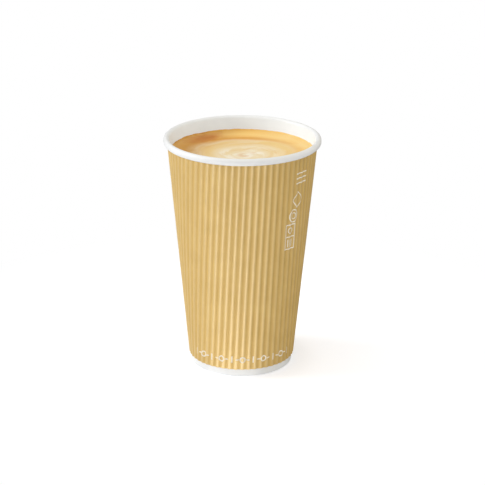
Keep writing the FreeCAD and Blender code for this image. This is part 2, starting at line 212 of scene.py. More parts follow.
# The middle of the drink's swirl, its rings and its patch at the back left, in shares of the drink's radius
SWIRL_CENTRE = (0.094, -0.312)
RING_SPACING = 0.24
PATCH_DISTANCE = 0.79
DIAGONAL = 0.71


class Term:
    """A number in a node tree, so that a formula in the script reads as it would on paper."""

    def __init__(self, tree, socket):
        self.tree = tree
        self.socket = socket

    def math(self, operation, *others):
        """Any operation of a math node, with this term as its first operand."""
        return combine(self.tree, operation, self, *others)

    def __add__(self, other):
        return self.math("ADD", other)

    def __sub__(self, other):
        return self.math("SUBTRACT", other)

    def __mul__(self, other):
        return self.math("MULTIPLY", other)

    def __truediv__(self, other):
        return self.math("DIVIDE", other)

    def __radd__(self, other):
        return self + other

    def __rmul__(self, other):
        return self * other

    def __rsub__(self, other):
        return combine(self.tree, "SUBTRACT", other, self)

    def __rtruediv__(self, other):
        return combine(self.tree, "DIVIDE", other, self)


def combine(tree, operation, *operands):
    """One math node on numbers or terms, as a new term."""
    node = tree.nodes.new("ShaderNodeMath")
    node.operation = operation
    for socket, operand in zip(node.inputs, operands):
        feed(tree, socket, operand)
    return Term(tree, node.outputs[0])


def feed(tree, socket, source):
    """Give a socket a link or a plain value."""
    if isinstance(source, Term):
        source = source.socket
    if isinstance(source, bpy.types.NodeSocket):
        tree.links.new(source, socket)
    else:
        socket.default_value = source


def place(tree, kind, settings=None, **inputs):
    """Add a node, set its properties and feed the inputs that are named."""
    node = tree.nodes.new(kind)
    for name, value in (settings or {}).items():
        setattr(node, name, value)
    for name, source in inputs.items():
        feed(tree, node.inputs[name.replace("_", " ")], source)
    return node


def smooth_share(share):
    """The share, held between 0 and 1 and eased at both ends."""
    held = share.math("MAXIMUM", 0.0).math("MINIMUM", 1.0)
    return held * held * (3.0 - 2.0 * held)


def start_tree(name, sizes, with_mesh=False):
    """A Geometry Nodes tree with one named input for each size, and the terms of those inputs."""
    tree = bpy.data.node_groups.new(name, "GeometryNodeTree")
    tree.interface.new_socket("Geometry", in_out="OUTPUT", socket_type="NodeSocketGeometry")
    if with_mesh:
        tree.interface.new_socket("Geometry", in_out="INPUT", socket_type="NodeSocketGeometry")
    for label, value in sizes.items():
        socket = tree.interface.new_socket(label, in_out="INPUT", socket_type="NodeSocketFloat")
        socket.default_value = value
    source = tree.nodes.new("NodeGroupInput")
    return tree, source, {label: Term(tree, source.outputs[label]) for label in sizes}


def finish_tree(tree, geometry, material):
    """End a tree in realized, smooth geometry with its material."""
    realized = place(tree, "GeometryNodeRealizeInstances", Geometry=geometry)
    smooth = place(tree, "GeometryNodeSetShadeSmooth", Geometry=realized.outputs[0])
    painted = place(tree, "GeometryNodeSetMaterial", Geometry=smooth.outputs[0], Material=material)
    output = tree.nodes.new("NodeGroupOutput")
    tree.links.new(painted.outputs[0], output.inputs[0])


def set_inputs(modifier, sizes):
    """Set a Geometry Nodes modifier's inputs by their sockets' identifiers."""
    for item in modifier.node_group.interface.items_tree:
        if item.item_type == "SOCKET" and item.in_out == "INPUT" and item.name in sizes:
            modifier[item.identifier] = sizes[item.name]


def bake_tree(name, tree, sizes, mesh=None, thickness=0.0):
    """Run a tree on a mesh, thicken the sheet if asked, and keep the result as a plain mesh."""
    carrier = bpy.data.objects.new(name + "_carrier", mesh or bpy.data.meshes.new(name + "_carrier"))
    bpy.context.scene.collection.objects.link(carrier)
    modifier = carrier.modifiers.new("tree", "NODES")
    modifier.node_group = tree
    set_inputs(modifier, sizes)
    if thickness:
        wall = carrier.modifiers.new("thickness", "SOLIDIFY")
        wall.thickness = thickness
        wall.offset = 0
        wall.use_even_offset = True
    bpy.context.view_layer.update()
    evaluated = carrier.evaluated_get(bpy.context.evaluated_depsgraph_get())
    result = bpy.data.meshes.new_from_object(evaluated)
    bpy.data.objects.remove(carrier)
    return add_object(name, result)


def add_object(name, mesh):
    """A mesh as an object in the scene, under one name for both."""
    piece = bpy.data.objects.new(name, mesh)
    mesh.name = name
    bpy.context.scene.collection.objects.link(piece)
    return piece


def settle(piece, slot, *nodes):
    """Let a finished piece ride on the cup and stand for its solids. Its slot is not used."""
    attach(piece, "root")
    if nodes:
        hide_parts(*nodes)
    return piece


def limited(share):
    """A plain number, held between 0 and 1."""
    return min(max(share, 0), 1)


def wall_radius(height, inset):
    """Radius, at a height, of the cone that lies inset inside the wall's outer face."""
    centre = RIM_RADIUS - ROLL_RADIUS
    reach = (ROLL_RADIUS - BOARD + inset) / math.cos(LEAN)
    return centre - reach - (CUP_HEIGHT - ROLL_RADIUS - height) * math.tan(LEAN)


TIP_HEIGHT = -wall_radius(0, 0) / math.tan(LEAN)
FAN_EDGE = FLUTES_END * math.sin(LEAN)
SLANT_LOW = (WRAP_LOW - TIP_HEIGHT) / math.cos(LEAN)
SLANT_HIGH = (WRAP_HIGH - TIP_HEIGHT) / math.cos(LEAN)

WRAP_SIZES = {
    "Lean": LEAN,
    "Tip Height": TIP_HEIGHT,
    "Blank Middle": BLANK_MIDDLE,
    "Slant Low": SLANT_LOW,
    "Slant High": SLANT_HIGH,
    "Fan Edge": FAN_EDGE,
    "Flute Pitch": FLUTE_PITCH,
    "Flute Depth": FLUTE_DEPTH,
    "Flute Fade": FLUTE_FADE,
    "Ridge Fullness": RIDGE_FULLNESS,
    "Bed": BOND_GAP + WRAP_PAPER / 2,
}


def on_cup(tree, sizes, angle, slant, off_wall):
    """Nodes for the position at an angle from the blank's middle, a slant and a distance off the wall."""
    height = slant * sizes["Lean"].math("COSINE") + sizes["Tip Height"]
    radius = slant * sizes["Lean"].math("SINE") + off_wall / sizes["Lean"].math("COSINE")
    turn = sizes["Blank Middle"] + angle
    return place(tree, "ShaderNodeCombineXYZ", X=radius * turn.math("COSINE"), Y=radius * turn.math("SINE"),
                 Z=height).outputs[0]


def angle_across(sizes, across, slant):
    """Nodes for the angle round the cup at which a place in the blank comes to lie."""
    return (across / slant).math("ARCSINE") / sizes["Lean"].math("SINE")


def flute_lift(sizes, across, slant):
    """Nodes for the wave across the flutes, which runs out beside the crushed seam."""
    valley = ((across / sizes["Flute Pitch"] * FULL_TURN).math("COSINE") + 1.0) / 2.0
    wave = sizes["Flute Depth"] * (1.0 - valley.math("POWER", sizes["Ridge Fullness"]))
    to_edge = slant * (sizes["Fan Edge"] - (across / slant).math("ARCSINE").math("ABSOLUTE"))
    return wave * smooth_share(to_edge / sizes["Flute Fade"])


def grid_steps(tree, columns, rows):
    """A grid with that many cells each way, and the column and row number of each of its points."""
    grid = place(tree, "GeometryNodeMeshGrid", Size_X=1.0, Size_Y=1.0,
                 Vertices_X=columns + 1, Vertices_Y=rows + 1)
    position = tree.nodes.new("GeometryNodeInputPosition")
    parts = place(tree, "ShaderNodeSeparateXYZ", Vector=position.outputs[0])
    column = ((Term(tree, parts.outputs["X"]) + 0.5) * float(columns)).math("ROUND")
    row = ((Term(tree, parts.outputs["Y"]) + 0.5) * float(rows)).math("ROUND")
    return grid.outputs["Mesh"], column, row


def mark_blank(tree, mesh, across, slant, ridge):
    """Keep each point's place in the flat blank, and how high on its flute it is, for the paper's look and
    the painted shade in its grooves.
    """
    both = place(tree, "ShaderNodeCombineXYZ", X=across, Y=slant, Z=ridge)
    return place(tree, "GeometryNodeStoreNamedAttribute", {"data_type": "FLOAT_VECTOR", "domain": "POINT"},
                 Geometry=mesh, Name="blank", Value=both.outputs[0]).outputs[0]


def fluted_part(tree, sizes):
    """The fluted part of the sheet: columns follow the flutes, and start on the lower edge or on the seam."""
    mesh, column, row = grid_steps(tree, 2 * CUT_COLUMNS + FULL_COLUMNS, SLANT_ROWS)
    fan = sizes["Fan Edge"].math("SINE")
    corner = sizes["Slant Low"] * fan
    widest = sizes["Slant High"] * fan
    left = column.math("MINIMUM", float(CUT_COLUMNS))
    middle = (column - float(CUT_COLUMNS)).math("MAXIMUM", 0.0).math("MINIMUM", float(FULL_COLUMNS))
    right = (column - float(CUT_COLUMNS + FULL_COLUMNS)).math("MAXIMUM", 0.0)
    in_cuts = (left + right) * (widest - corner) / float(CUT_COLUMNS)
    across = in_cuts + middle * corner * 2.0 / float(FULL_COLUMNS) - widest
    start = (across.math("ABSOLUTE") / fan).math("MAXIMUM", sizes["Slant Low"])
    share = row / float(SLANT_ROWS)
    slant = start + (sizes["Slant High"] - start) * share * (1.0 + share) / 2.0
    lift = flute_lift(sizes, across, slant)
    off_wall = sizes["Bed"] + lift
    position = on_cup(tree, sizes, angle_across(sizes, across, slant), slant, off_wall)
    marked = mark_blank(tree, mesh, across, slant, lift / sizes["Flute Depth"])
    return place(tree, "GeometryNodeSetPosition", Geometry=marked, Position=position).outputs[0]


def seam_part(tree, sizes, direction):
    """A flat end of the sheet beside the seam. The outer end climbs over the inner one."""
    mesh, column, row = grid_steps(tree, SEAM_COLUMNS, CUT_COLUMNS)
    angle = FLUTES_END + column * ((SHEET_END - FLUTES_END) / SEAM_COLUMNS)
    slant = sizes["Slant Low"] + (sizes["Slant High"] - sizes["Slant Low"]) * row / float(CUT_COLUMNS)
    off_wall = sizes["Bed"]
    if direction > 0:
        climb = smooth_share((angle - RAMP_START) / (LAP_START - RAMP_START))
        off_wall = off_wall + climb * (WRAP_PAPER + BOND_GAP)
    signed = angle * float(direction)
    across = slant * (signed * sizes["Lean"].math("SINE")).math("SINE")
    marked = mark_blank(tree, mesh, across, slant, 0.5)
    position = on_cup(tree, sizes, signed, slant, off_wall)
    moved = place(tree, "GeometryNodeSetPosition", Geometry=marked, Position=position).outputs[0]
    if direction > 0:
        return moved
    return place(tree, "GeometryNodeFlipFaces", Mesh=moved).outputs[0]


def make_wrap(material):
    """The corrugated sheet, rolled onto the wall's cone from its flat blank."""
    tree, _, sizes = start_tree("corrugated_wrap", WRAP_SIZES)
    join = tree.nodes.new("GeometryNodeJoinGeometry")
    for part in (fluted_part(tree, sizes), seam_part(tree, sizes, 1), seam_part(tree, sizes, -1)):
        tree.links.new(part, join.inputs[0])
    sewn = place(tree, "GeometryNodeMergeByDistance", Geometry=join.outputs[0],
                 Distance=WRAP_SEW_DISTANCE)
    finish_tree(tree, sewn.outputs[0], material)
    wrap = bake_tree("kraft_wrap", tree, WRAP_SIZES, thickness=WRAP_PAPER)
    wrap.data.set_sharp_from_angle(angle=WRAP_CREASE)
    return settle(wrap, "kraft_paper", "ripple_sleeve")


PRINT_SIZES = {**WRAP_SIZES, "Ink Lift": WRAP_PAPER / 2 + INK_LIFT}


def bar(across, slant, width, height):
    """A filled upright or level bar, as rows of points in the blank."""
    columns = max(2, math.ceil(width / INK_CELL))
    rows = max(2, math.ceil(height / (INK_CELL * 2)))
    return [[(across + width * (column / columns - 0.5), slant + height * (row / rows - 0.5))
             for column in range(columns + 1)] for row in range(rows + 1)]


def ring(across, slant, width, height, stroke, power=1.0, turns=RING_TURNS):
    """An outline shape: round at power 1 and a rhombus at power 2."""
    rows = []
    for share in (-0.5, 0.0, 0.5):
        row = []
        for step in range(turns + 1):
            angle = FULL_TURN * step / turns
            cosine = math.copysign(abs(math.cos(angle)) ** power, math.cos(angle))
            sine = math.copysign(abs(math.sin(angle)) ** power, math.sin(angle))
            row.append((across + (width / 2 + stroke * share) * cosine,
                        slant + (height / 2 + stroke * share) * sine))
        rows.append(row)
    return rows


def column_mark(across, slant, kind, width, tall):
    """One plain outline shape of the column at the side."""
    stroke = COLUMN_STROKE
    if kind == "bars":
        return [bar(across, slant + side * tall * 0.4, width, stroke) for side in (-1, 0, 1)]
    if kind == "rhombus":
        return [ring(across, slant, width, tall, stroke, power=1.8)]
    if kind == "ring":
        outer = ring(across, slant, width, tall, stroke)
        inner = ring(across, slant, width * 0.45, tall * 0.5, stroke * 0.8)
        return [outer, inner]
    between = width - 2 * stroke
    uprights = [bar(across + side * (width - stroke), slant, stroke, tall) for side in (-0.5, 0.5)]
    levels = [bar(across, slant + level * (tall - stroke), between, stroke) for level in (-0.5, 0.0, 0.5)]
    slats = [bar(across + side * width * 0.19, slant - tall * 0.25, stroke * 0.7, tall * 0.3)
             for side in (-1, 0, 1)]
    eye = ring(across, slant + tall * 0.25, width * 0.42, tall * 0.22, stroke * 0.7)
    return uprights + levels + slats + [eye]


def across_at(azimuth, slant):
    """How far across the blank an angle round the cup, in degrees, lies at a slant."""
    from_middle = math.radians(azimuth - math.degrees(BLANK_MIDDLE))
    return slant * math.sin(from_middle * math.sin(LEAN))


def print_patches():
    """A row of plain marks above the wrap's lower edge, and a column of outline shapes at the side."""
    patches = []
    for index in range(ROW_MARKS):
        azimuth = ROW_START + (ROW_END - ROW_START) * index / (ROW_MARKS - 1)
        slant = SLANT_LOW + ROW_RISE
        across = across_at(azimuth, slant)
        if index % 4 == 0:
            patches.append(bar(across, slant, ROW_STROKE, ROW_BAR))
        elif index % 4 == 2:
            patches.append(ring(across, slant, *ROW_RING, ROW_STROKE, turns=SMALL_RING_TURNS))
        else:
            patches.append(bar(across, slant, ROW_DASH, ROW_STROKE))
    for azimuth, height, kind, width, tall in COLUMN_MARKS:
        slant = (height - TIP_HEIGHT) / math.cos(LEAN)
        patches += column_mark(across_at(azimuth, slant), slant, kind, width, tall)
    return patches


def make_print(material):
    """White ink on the wrap: flat marks that Geometry Nodes lay over the flutes."""
    points = []
    faces = []
    for rows in print_patches():
        first = len(points)
        columns = len(rows[0])
        points += [(across, slant, 0.0) for row in rows for across, slant in row]
        for row in range(len(rows) - 1):
            for column in range(columns - 1):
                corner = first + row * columns + column
                faces.append((corner, corner + 1, corner + columns + 1, corner + columns))
    flat = bpy.data.meshes.new("flat_print")
    flat.from_pydata(points, [], faces)
    tree, source, sizes = start_tree("print_on_wrap", PRINT_SIZES, with_mesh=True)
    position = tree.nodes.new("GeometryNodeInputPosition")
    parts = place(tree, "ShaderNodeSeparateXYZ", Vector=position.outputs[0])
    across = Term(tree, parts.outputs["X"])
    slant = Term(tree, parts.outputs["Y"])
    off_wall = sizes["Bed"] + flute_lift(sizes, across, slant) + sizes["Ink Lift"]
    on_wrap = on_cup(tree, sizes, angle_across(sizes, across, slant), slant, off_wall)
    moved = place(tree, "GeometryNodeSetPosition", Geometry=source.outputs["Geometry"], Position=on_wrap)
    merged = place(tree, "GeometryNodeMergeByDistance", Geometry=moved.outputs[0],
                   Distance=INK_SEW_DISTANCE)
    finish_tree(tree, merged.outputs[0], material)
    ink = bake_tree("wrap_print", tree, PRINT_SIZES, mesh=flat, thickness=INK_LIFT)
    return settle(ink, "coated_board")


def arc_points(centre, radius, first, last):
    """Points (radius, height) along an arc from one angle to another, both ends included."""
    steps = max(2, math.ceil(abs(last - first) / BEND_STEP))
    angles = [first + (last - first) * index / steps for index in range(steps + 1)]
    return [(centre[0] + radius * math.cos(angle), centre[1] + radius * math.sin(angle)) for angle in angles]


def line_points(start, end, steps):
    """Points between two places, without the places themselves."""
    return [(start[0] + (end[0] - start[0]) * index / steps, start[1] + (end[1] - start[1]) * index / steps)
            for index in range(1, steps)]


def wall_profile():
    """The board's closed section, as (radius, height, side) with side naming the face that a point is on."""
    turn = math.pi - LEAN
    pocket = BOARD + DISC_BOARD + 2 * BOND_GAP
    hem = pocket + BOARD
    top = (RIM_RADIUS - ROLL_RADIUS, CUP_HEIGHT - ROLL_RADIUS)
    low = (top[0], top[1] - ROLL_SIDE)
    slack = FOLD_RADIUS * (1 - math.sin(LEAN)) / math.cos(LEAN)
    outer_foot = (wall_radius(0, 0) - slack, FOLD_RADIUS)
    inner_foot = (wall_radius(0, hem) + FOLD_RADIUS, FOLD_RADIUS)
    inner_roll = ROLL_RADIUS - BOARD
    outer_corner = arc_points(outer_foot, FOLD_RADIUS, -math.pi / 2, -LEAN)
    inner_bend = arc_points(top, inner_roll, turn, 0)
    inner_tuck = arc_points(low, inner_roll, 0, -ROLL_TUCK)
    outer_tuck = arc_points(low, ROLL_RADIUS, -ROLL_TUCK, 0)
    outer_bend = arc_points(top, ROLL_RADIUS, 0, turn)
    floor_outer = (wall_radius(BOARD, BOARD), BOARD)
    floor_inner = (wall_radius(BOARD, pocket), BOARD)
    hem_outer = (wall_radius(HEM_HEIGHT, pocket), HEM_HEIGHT)
    hem_inner = (wall_radius(HEM_HEIGHT, hem), HEM_HEIGHT)
    inner_corner = arc_points(inner_foot, FOLD_RADIUS, turn, 1.5 * math.pi)
    sides = (
        ("outside", outer_corner + line_points(outer_corner[-1], inner_bend[0], OUTSIDE_ROWS)),
        ("hollow", inner_bend + inner_tuck),
        ("roll", outer_tuck + outer_bend[:-1]),
        ("inside", outer_bend[-1:] + line_points(outer_bend[-1], floor_outer, INSIDE_ROWS)),
        ("pocket", [floor_outer, floor_inner, hem_outer]),
        ("hem", [hem_inner] + line_points(hem_inner, inner_corner[0], HEM_ROWS) + inner_corner),
    )
    return [(radius, height, side) for side, points in sides for radius, height in points]


def angle_from(angle, direction):
    """The angle from a direction, between minus half a turn and half a turn."""
    return math.remainder(angle - direction, FULL_TURN)


def lap_share(angle):
    """1 on the doubled board of the wall's glued side seam, 0 elsewhere."""
    return limited((LAP_HALF_ANGLE - abs(angle_from(angle, LAP_DIRECTION))) / LAP_EDGE_ANGLE)


def round_noise(angle, height, detail, seed):
    """Smooth random value round the cup that closes on itself."""
    return noise.noise(Vector((detail * math.cos(angle), detail * math.sin(angle), height + seed)))


def round_angles():
    """Angles for a turned mesh, with two more columns at each edge of the side seam."""
    angles = [FULL_TURN * index / ROUND_STEPS - math.pi for index in range(ROUND_STEPS)]
    for half in (LAP_HALF_ANGLE, LAP_HALF_ANGLE - LAP_EDGE_ANGLE):
        angles += [LAP_DIRECTION + side * half for side in (-1, 1)]
    return sorted(angles)


def turned_mesh(name, profile, shape, poles=()):
    """A mesh turned round the axis. shape moves a profile point at an angle and returns (radius, height).

    A profile that runs from axis to axis is closed by its two poles, given by height."""
    angles = round_angles()
    count = len(profile)
    points = []
    for angle in angles:
        for step in profile:
            radius, height = shape(step, angle)
            points.append((radius * math.cos(angle), radius * math.sin(angle), height))
    faces = []
    first_pole = len(points)
    points += [(0.0, 0.0, height) for height in poles]
    for column in range(len(angles)):
        after = (column + 1) % len(angles)
        for index in range(count - 1 if poles else count):
            follow = (index + 1) % count
            faces.append((column * count + index, after * count + index,
                          after * count + follow, column * count + follow))
        if poles:
            faces.append((first_pole, after * count, column * count))
            faces.append((first_pole + 1, column * count + count - 1, after * count + count - 1))
    mesh = bpy.data.meshes.new(name)
    mesh.from_pydata(points, [], faces)
    mesh.validate()
    mesh.polygons.foreach_set("use_smooth", [True] * len(mesh.polygons))
    mesh.set_sharp_from_angle(angle=TURNED_CREASE)
    return mesh


def wall_shape(step, angle):
    """The wall's own small unevenness: a rolled rim that wanders, the doubled seam and the crimped foot."""
    radius, height, side = step
    if side in ("hollow", "roll"):
        wander = RIM_WANDER * round_noise(angle, 0.0, RIM_WAVES, 3.0)
        return radius + wander * 0.5, height + wander - RIM_WANDER * 0.5
    if side == "inside" and height > DISC_TOP:
        fade = limited((CUP_HEIGHT - ROLL_RADIUS - height) / LAP_FADE)
        return radius - BOARD * lap_share(angle) * fade, height
    if side == "hem":
        share = limited((height - CRIMP_START) / CRIMP_RISE) * limited((HEM_HEIGHT - height) / CRIMP_FALL)
        return radius + CRIMP_DEPTH * share * math.cos(CRIMP_TEETH * angle), height
    return radius, height


def make_wall(material):
    """The white board: wall, rolled rim and folded foot in one turned piece."""
    mesh = turned_mesh("rolled_wall", wall_profile(), wall_shape)
    mesh.materials.append(material)
    return settle(add_object("rolled_wall", mesh), "coated_board", "cup_wall")


def drink_profile():
    """The drink's section from the middle of its surface out, down the wall and back along the floor."""
    edge = wall_radius(DRINK_TOP, BOARD + DRINK_GAP)
    bed = wall_radius(DRINK_FLOOR, BOARD + DRINK_GAP)
    points = []
    for index in range(1, DRINK_RINGS + 1):
        share = 1 - (1 - index / DRINK_RINGS) ** DRINK_CROWDING
        points.append((edge * share, DRINK_TOP, "surface"))
    side = line_points((edge, DRINK_TOP), (bed, DRINK_FLOOR), DRINK_SIDE_ROWS)
    points += [(radius, height, "side") for radius, height in side]
    points += [(bed, DRINK_FLOOR, "side"), (bed / 2, DRINK_FLOOR, "floor"), (MM, DRINK_FLOOR, "floor")]
    return points, edge


def drink_height(radius, edge, angle):
    """The surface climbs a little where it meets the wall and carries the foam's low relief."""
    climb = MENISCUS_RISE * math.exp(-(edge - radius) / MENISCUS_WIDTH * MENISCUS_STEEPNESS)
    climb *= 1 + 0.6 * round_noise(angle, 0.0, 6.0, 11.0) + 0.35 * round_noise(angle, 0.0, 17.0, 5.0)
    spot = Vector((radius * math.cos(angle), radius * math.sin(angle), 0)) / FOAM_PATCH
    return climb - MENISCUS_RISE + FOAM_RELIEF * noise.fractal(spot, 0.8, 2.0, 3)


def make_drink(material):
    """The drink, with its surface in fine rings."""
    profile, edge = drink_profile()

    def shape(step, angle):
        """A point of the section with the surface's relief, held clear of the wall and its seam."""
        radius, height, side = step
        if side == "surface":
            height += drink_height(radius, edge, angle)
        if side != "floor":
            radius = min(radius, wall_radius(height, BOARD + DRINK_GAP + BOARD * lap_share(angle)))
        return radius, height

    poles = (DRINK_TOP + drink_height(0.0, edge, 0.0), DRINK_FLOOR)
    mesh = turned_mesh("milky_coffee", profile, shape, poles)
    mesh.materials.append(material)
    return settle(add_object("milky_coffee", mesh), "drink", "coffee")


# Looks


def hex_colour(text):
    """A colour as written for the screen, in the linear values that shaders take."""
    parts = [int(text[index:index + 2], 16) / 255 for index in (0, 2, 4)]
    linear = [part / 12.92 if part <= 0.04045 else ((part + 0.055) / 1.055) ** 2.4 for part in parts]
    return (*linear, 1.0)


def new_material(name, roughness, **sockets):
    """A material with one Principled shader and its plain values."""
    material = bpy.data.materials.new(name)
    material.use_nodes = True
    tree = material.node_tree
    shader = tree.nodes["Principled BSDF"]
    shader.inputs["Roughness"].default_value = roughness
    for socket, value in sockets.items():
        shader.inputs[socket.replace("_", " ")].default_value = value
    return material, tree, shader


def colour_ramp(tree, factor, stops):
    """A ramp over (place, colour) stops, with its colour as a socket."""
    ramp = place(tree, "ShaderNodeValToRGB", Fac=factor)
    elements = ramp.color_ramp.elements
    while len(elements) < len(stops):
        elements.new(0.5)
    for element, (position, colour) in zip(elements, stops):
        element.position = position
        element.color = hex_colour(colour)
    return ramp.outputs["Color"]


def mix_colours(tree, blend, factor, first, second):
    """Two colours mixed by a factor, as a socket."""
    node = place(tree, "ShaderNodeMix", {"data_type": "RGBA", "blend_type": blend})
    feed(tree, node.inputs[0], factor)
    feed(tree, node.inputs[6], first)
    feed(tree, node.inputs[7], second)
    return node.outputs[2]


def tint(tree, factor, base, colour, blend="MIX"):
    """A base with a share of one plain colour over it."""
    return mix_colours(tree, blend, factor, base, hex_colour(colour))


def make_fibre_group():
    """Paper's fibres and flecks, shared by every paper on the cup."""
    group = bpy.data.node_groups.new("paper_fibres", "ShaderNodeTree")
    group.interface.new_socket("Vector", in_out="INPUT", socket_type="NodeSocketVector")
    for label, value in (("Fibre Scale", 900.0), ("Fleck Scale", 1600.0)):
        group.interface.new_socket(label, in_out="INPUT", socket_type="NodeSocketFloat").default_value = value
    for label in ("Height", "Cloud", "Fleck"):
        group.interface.new_socket(label, in_out="OUTPUT", socket_type="NodeSocketFloat")
    source = group.nodes.new("NodeGroupInput")
    output = group.nodes.new("NodeGroupOutput")
    stretched = place(group, "ShaderNodeMapping", Vector=source.outputs["Vector"], Scale=(1.0, 0.28, 0.28))
    fibres = place(group, "ShaderNodeTexNoise", Vector=stretched.outputs[0],
                   Scale=source.outputs["Fibre Scale"], Detail=4.0, Roughness=0.62, Distortion=0.6)
    cloud = place(group, "ShaderNodeTexNoise", Vector=source.outputs["Vector"],
                  Scale=70.0, Detail=5.0, Roughness=0.6)
    specks = place(group, "ShaderNodeTexNoise", Vector=stretched.outputs[0],
                   Scale=source.outputs["Fleck Scale"], Detail=2.0, Roughness=0.5)
    fleck = smooth_share((Term(group, specks.outputs["Fac"]) - 0.66) / 0.08)
    height = Term(group, fibres.outputs["Fac"]) * 0.7 + Term(group, cloud.outputs["Fac"]) * 0.3
    feed(group, output.inputs["Height"], height)
    feed(group, output.inputs["Cloud"], cloud.outputs["Fac"])
    feed(group, output.inputs["Fleck"], fleck)
    return group


def add_fibres(tree, fibres, vector, grain):
    """The shared fibres in a material, at the two scales of its paper's grain."""
    fibre_scale, fleck_scale = grain
    return place(tree, "ShaderNodeGroup", {"node_tree": fibres}, Vector=vector,
                 Fibre_Scale=fibre_scale, Fleck_Scale=fleck_scale)


def add_bump(tree, shader, height, strength, distance):
    """Relief on a shader, from a height."""
    bump = place(tree, "ShaderNodeBump", Height=height, Strength=strength, Distance=distance)
    tree.links.new(bump.outputs[0], shader.inputs["Normal"])


def object_coordinates(tree):
    """The position in the object's own space, as a socket."""
    return tree.nodes.new("ShaderNodeTexCoord").outputs["Object"]


def make_kraft(fibres):
    """Kraft paper, cloudy and fibrous: burnished on the ridges by the fluting rolls, dull in the grooves,
    which are darkened by painted shade.
    """
    material, tree, shader = new_material("kraft_paper", 0.5, Specular_IOR_Level=1.0, IOR=1.5, Coat_IOR=2.0,
                                          Coat_Roughness=0.42)
    blank = place(tree, "ShaderNodeAttribute", {"attribute_name": "blank"})
    flat = place(tree, "ShaderNodeMapping", Vector=blank.outputs["Vector"], Scale=(1.0, 1.0, 0.0))
    parts = place(tree, "ShaderNodeSeparateXYZ", Vector=blank.outputs["Vector"])
    lift = Term(tree, parts.outputs["Z"])
    ridge = smooth_share((lift - 0.02) / 0.6)
    crest = smooth_share((lift - 0.36) / 0.55)
    grain = add_fibres(tree, fibres, flat.outputs[0], KRAFT_GRAIN)
    base = colour_ramp(tree, grain.outputs["Cloud"], KRAFT_TONES)
    # Painted shade: a multiplied tint darkens the grooves, where the flutes shade each other
    groove_shaded = tint(tree, (1.0 - ridge) * 0.2, base, KRAFT_GROOVE_SHADE, "MULTIPLY")
    fibred = mix_colours(tree, "SOFT_LIGHT", 0.35, groove_shaded,
                         colour_ramp(tree, grain.outputs["Height"], KRAFT_FIBRES))
    flecked = tint(tree, Term(tree, grain.outputs["Fleck"]) * 0.2, fibred, KRAFT_FLECK)
    tree.links.new(flecked, shader.inputs["Base Color"])
    feed(tree, shader.inputs["Roughness"], 0.86 - ridge * 0.06)
    feed(tree, shader.inputs["Coat Weight"], 0.2 + crest * 0.52)
    add_bump(tree, shader, grain.outputs["Height"], 0.3, 0.05 * MM)
    return material


def make_coated_board(fibres):
    """White board under a thin coating: nearly smooth, with a soft sheen."""
    material, tree, shader = new_material("coated_board", 0.42, Specular_IOR_Level=0.45, Coat_Weight=0.12,
                                          Coat_Roughness=0.28)
    grain = add_fibres(tree, fibres, object_coordinates(tree), COATED_GRAIN)
    base = colour_ramp(tree, grain.outputs["Cloud"], COATED_TONES)
    tree.links.new(base, shader.inputs["Base Color"])
    add_bump(tree, shader, grain.outputs["Height"], 0.18, 0.05 * MM)
    return material


def make_plain_board(fibres):
    """The disc's board seen from below: white and a little fuzzier."""
    material, tree, shader = new_material("plain_board", 0.6, Specular_IOR_Level=0.35)
    grain = add_fibres(tree, fibres, object_coordinates(tree), BOARD_GRAIN)
    base = colour_ramp(tree, grain.outputs["Cloud"], BOARD_TONES)
    flecked = tint(tree, Term(tree, grain.outputs["Fleck"]) * 0.2, base, BOARD_FLECK)
    tree.links.new(flecked, shader.inputs["Base Color"])
    add_bump(tree, shader, grain.outputs["Height"], 0.3, 0.06 * MM)
    return material


def make_ink(fibres):
    """Thin white ink that lets a little of the brown paper through."""
    material, tree, shader = new_material("print_ink", 0.5, Specular_IOR_Level=0.5)
    grain = add_fibres(tree, fibres, object_coordinates(tree), KRAFT_GRAIN)
    base = colour_ramp(tree, grain.outputs["Height"], INK_TONES)
    tree.links.new(base, shader.inputs["Base Color"])
    add_bump(tree, shader, grain.outputs["Height"], 0.25, 0.04 * MM)
    return material


def drink_places(tree, position):
    """Terms for a place on the drink: where it lies, in shares of the drink's radius, and its foam.

    Radius and angle go round the swirl's middle, and stirred is that radius with the foam's unevenness."""
    edge = wall_radius(DRINK_TOP, BOARD)
    parts = place(tree, "ShaderNodeSeparateXYZ", Vector=position)
    across = Term(tree, parts.outputs["X"]) / edge
    along = Term(tree, parts.outputs["Y"]) / edge
    from_axis = (across * across + along * along).math("SQRT")
    drift = (1.0 - from_axis).math("MAXIMUM", 0.0)
    swirl_across = across - drift * SWIRL_CENTRE[0]
    swirl_along = along - drift * SWIRL_CENTRE[1]
    radius = (swirl_across * swirl_across + swirl_along * swirl_along).math("SQRT")
    angle = swirl_along.math("ARCTAN2", swirl_across)
    broad = brush_strands(tree, angle, radius, turn=2.6, reach=0.5, fineness=3.2, scale=2.4)
    fine = brush_strands(tree, angle, radius, turn=3.2, reach=0.3, fineness=6.5, scale=1.9)
    cloud = place(tree, "ShaderNodeTexNoise", Vector=position, Scale=60.0, Detail=4.0, Roughness=0.6)
    clouds = Term(tree, cloud.outputs["Fac"])
    stirred = radius + across * 0.04 - across * across * 0.12 + (broad - 0.5) * 0.08 + (clouds - 0.5) * 0.06
    return SimpleNamespace(across=across, along=along, radius=radius, angle=angle, broad=broad, fine=fine,
                           clouds=clouds, stirred=stirred)


def brush_strands(tree, angle, radius, turn, reach, fineness, scale):
    """Strands of foam drawn out along the stirring, seamless round the cup."""
    turned = angle + radius * turn
    stroke = place(tree, "ShaderNodeCombineXYZ", X=turned.math("COSINE") * reach,
                   Y=turned.math("SINE") * reach, Z=radius * fineness)
    strands = place(tree, "ShaderNodeTexNoise", Vector=stroke.outputs[0], Scale=scale, Detail=4.0,
                    Roughness=0.6, Distortion=0.2)
    return Term(tree, strands.outputs["Fac"])


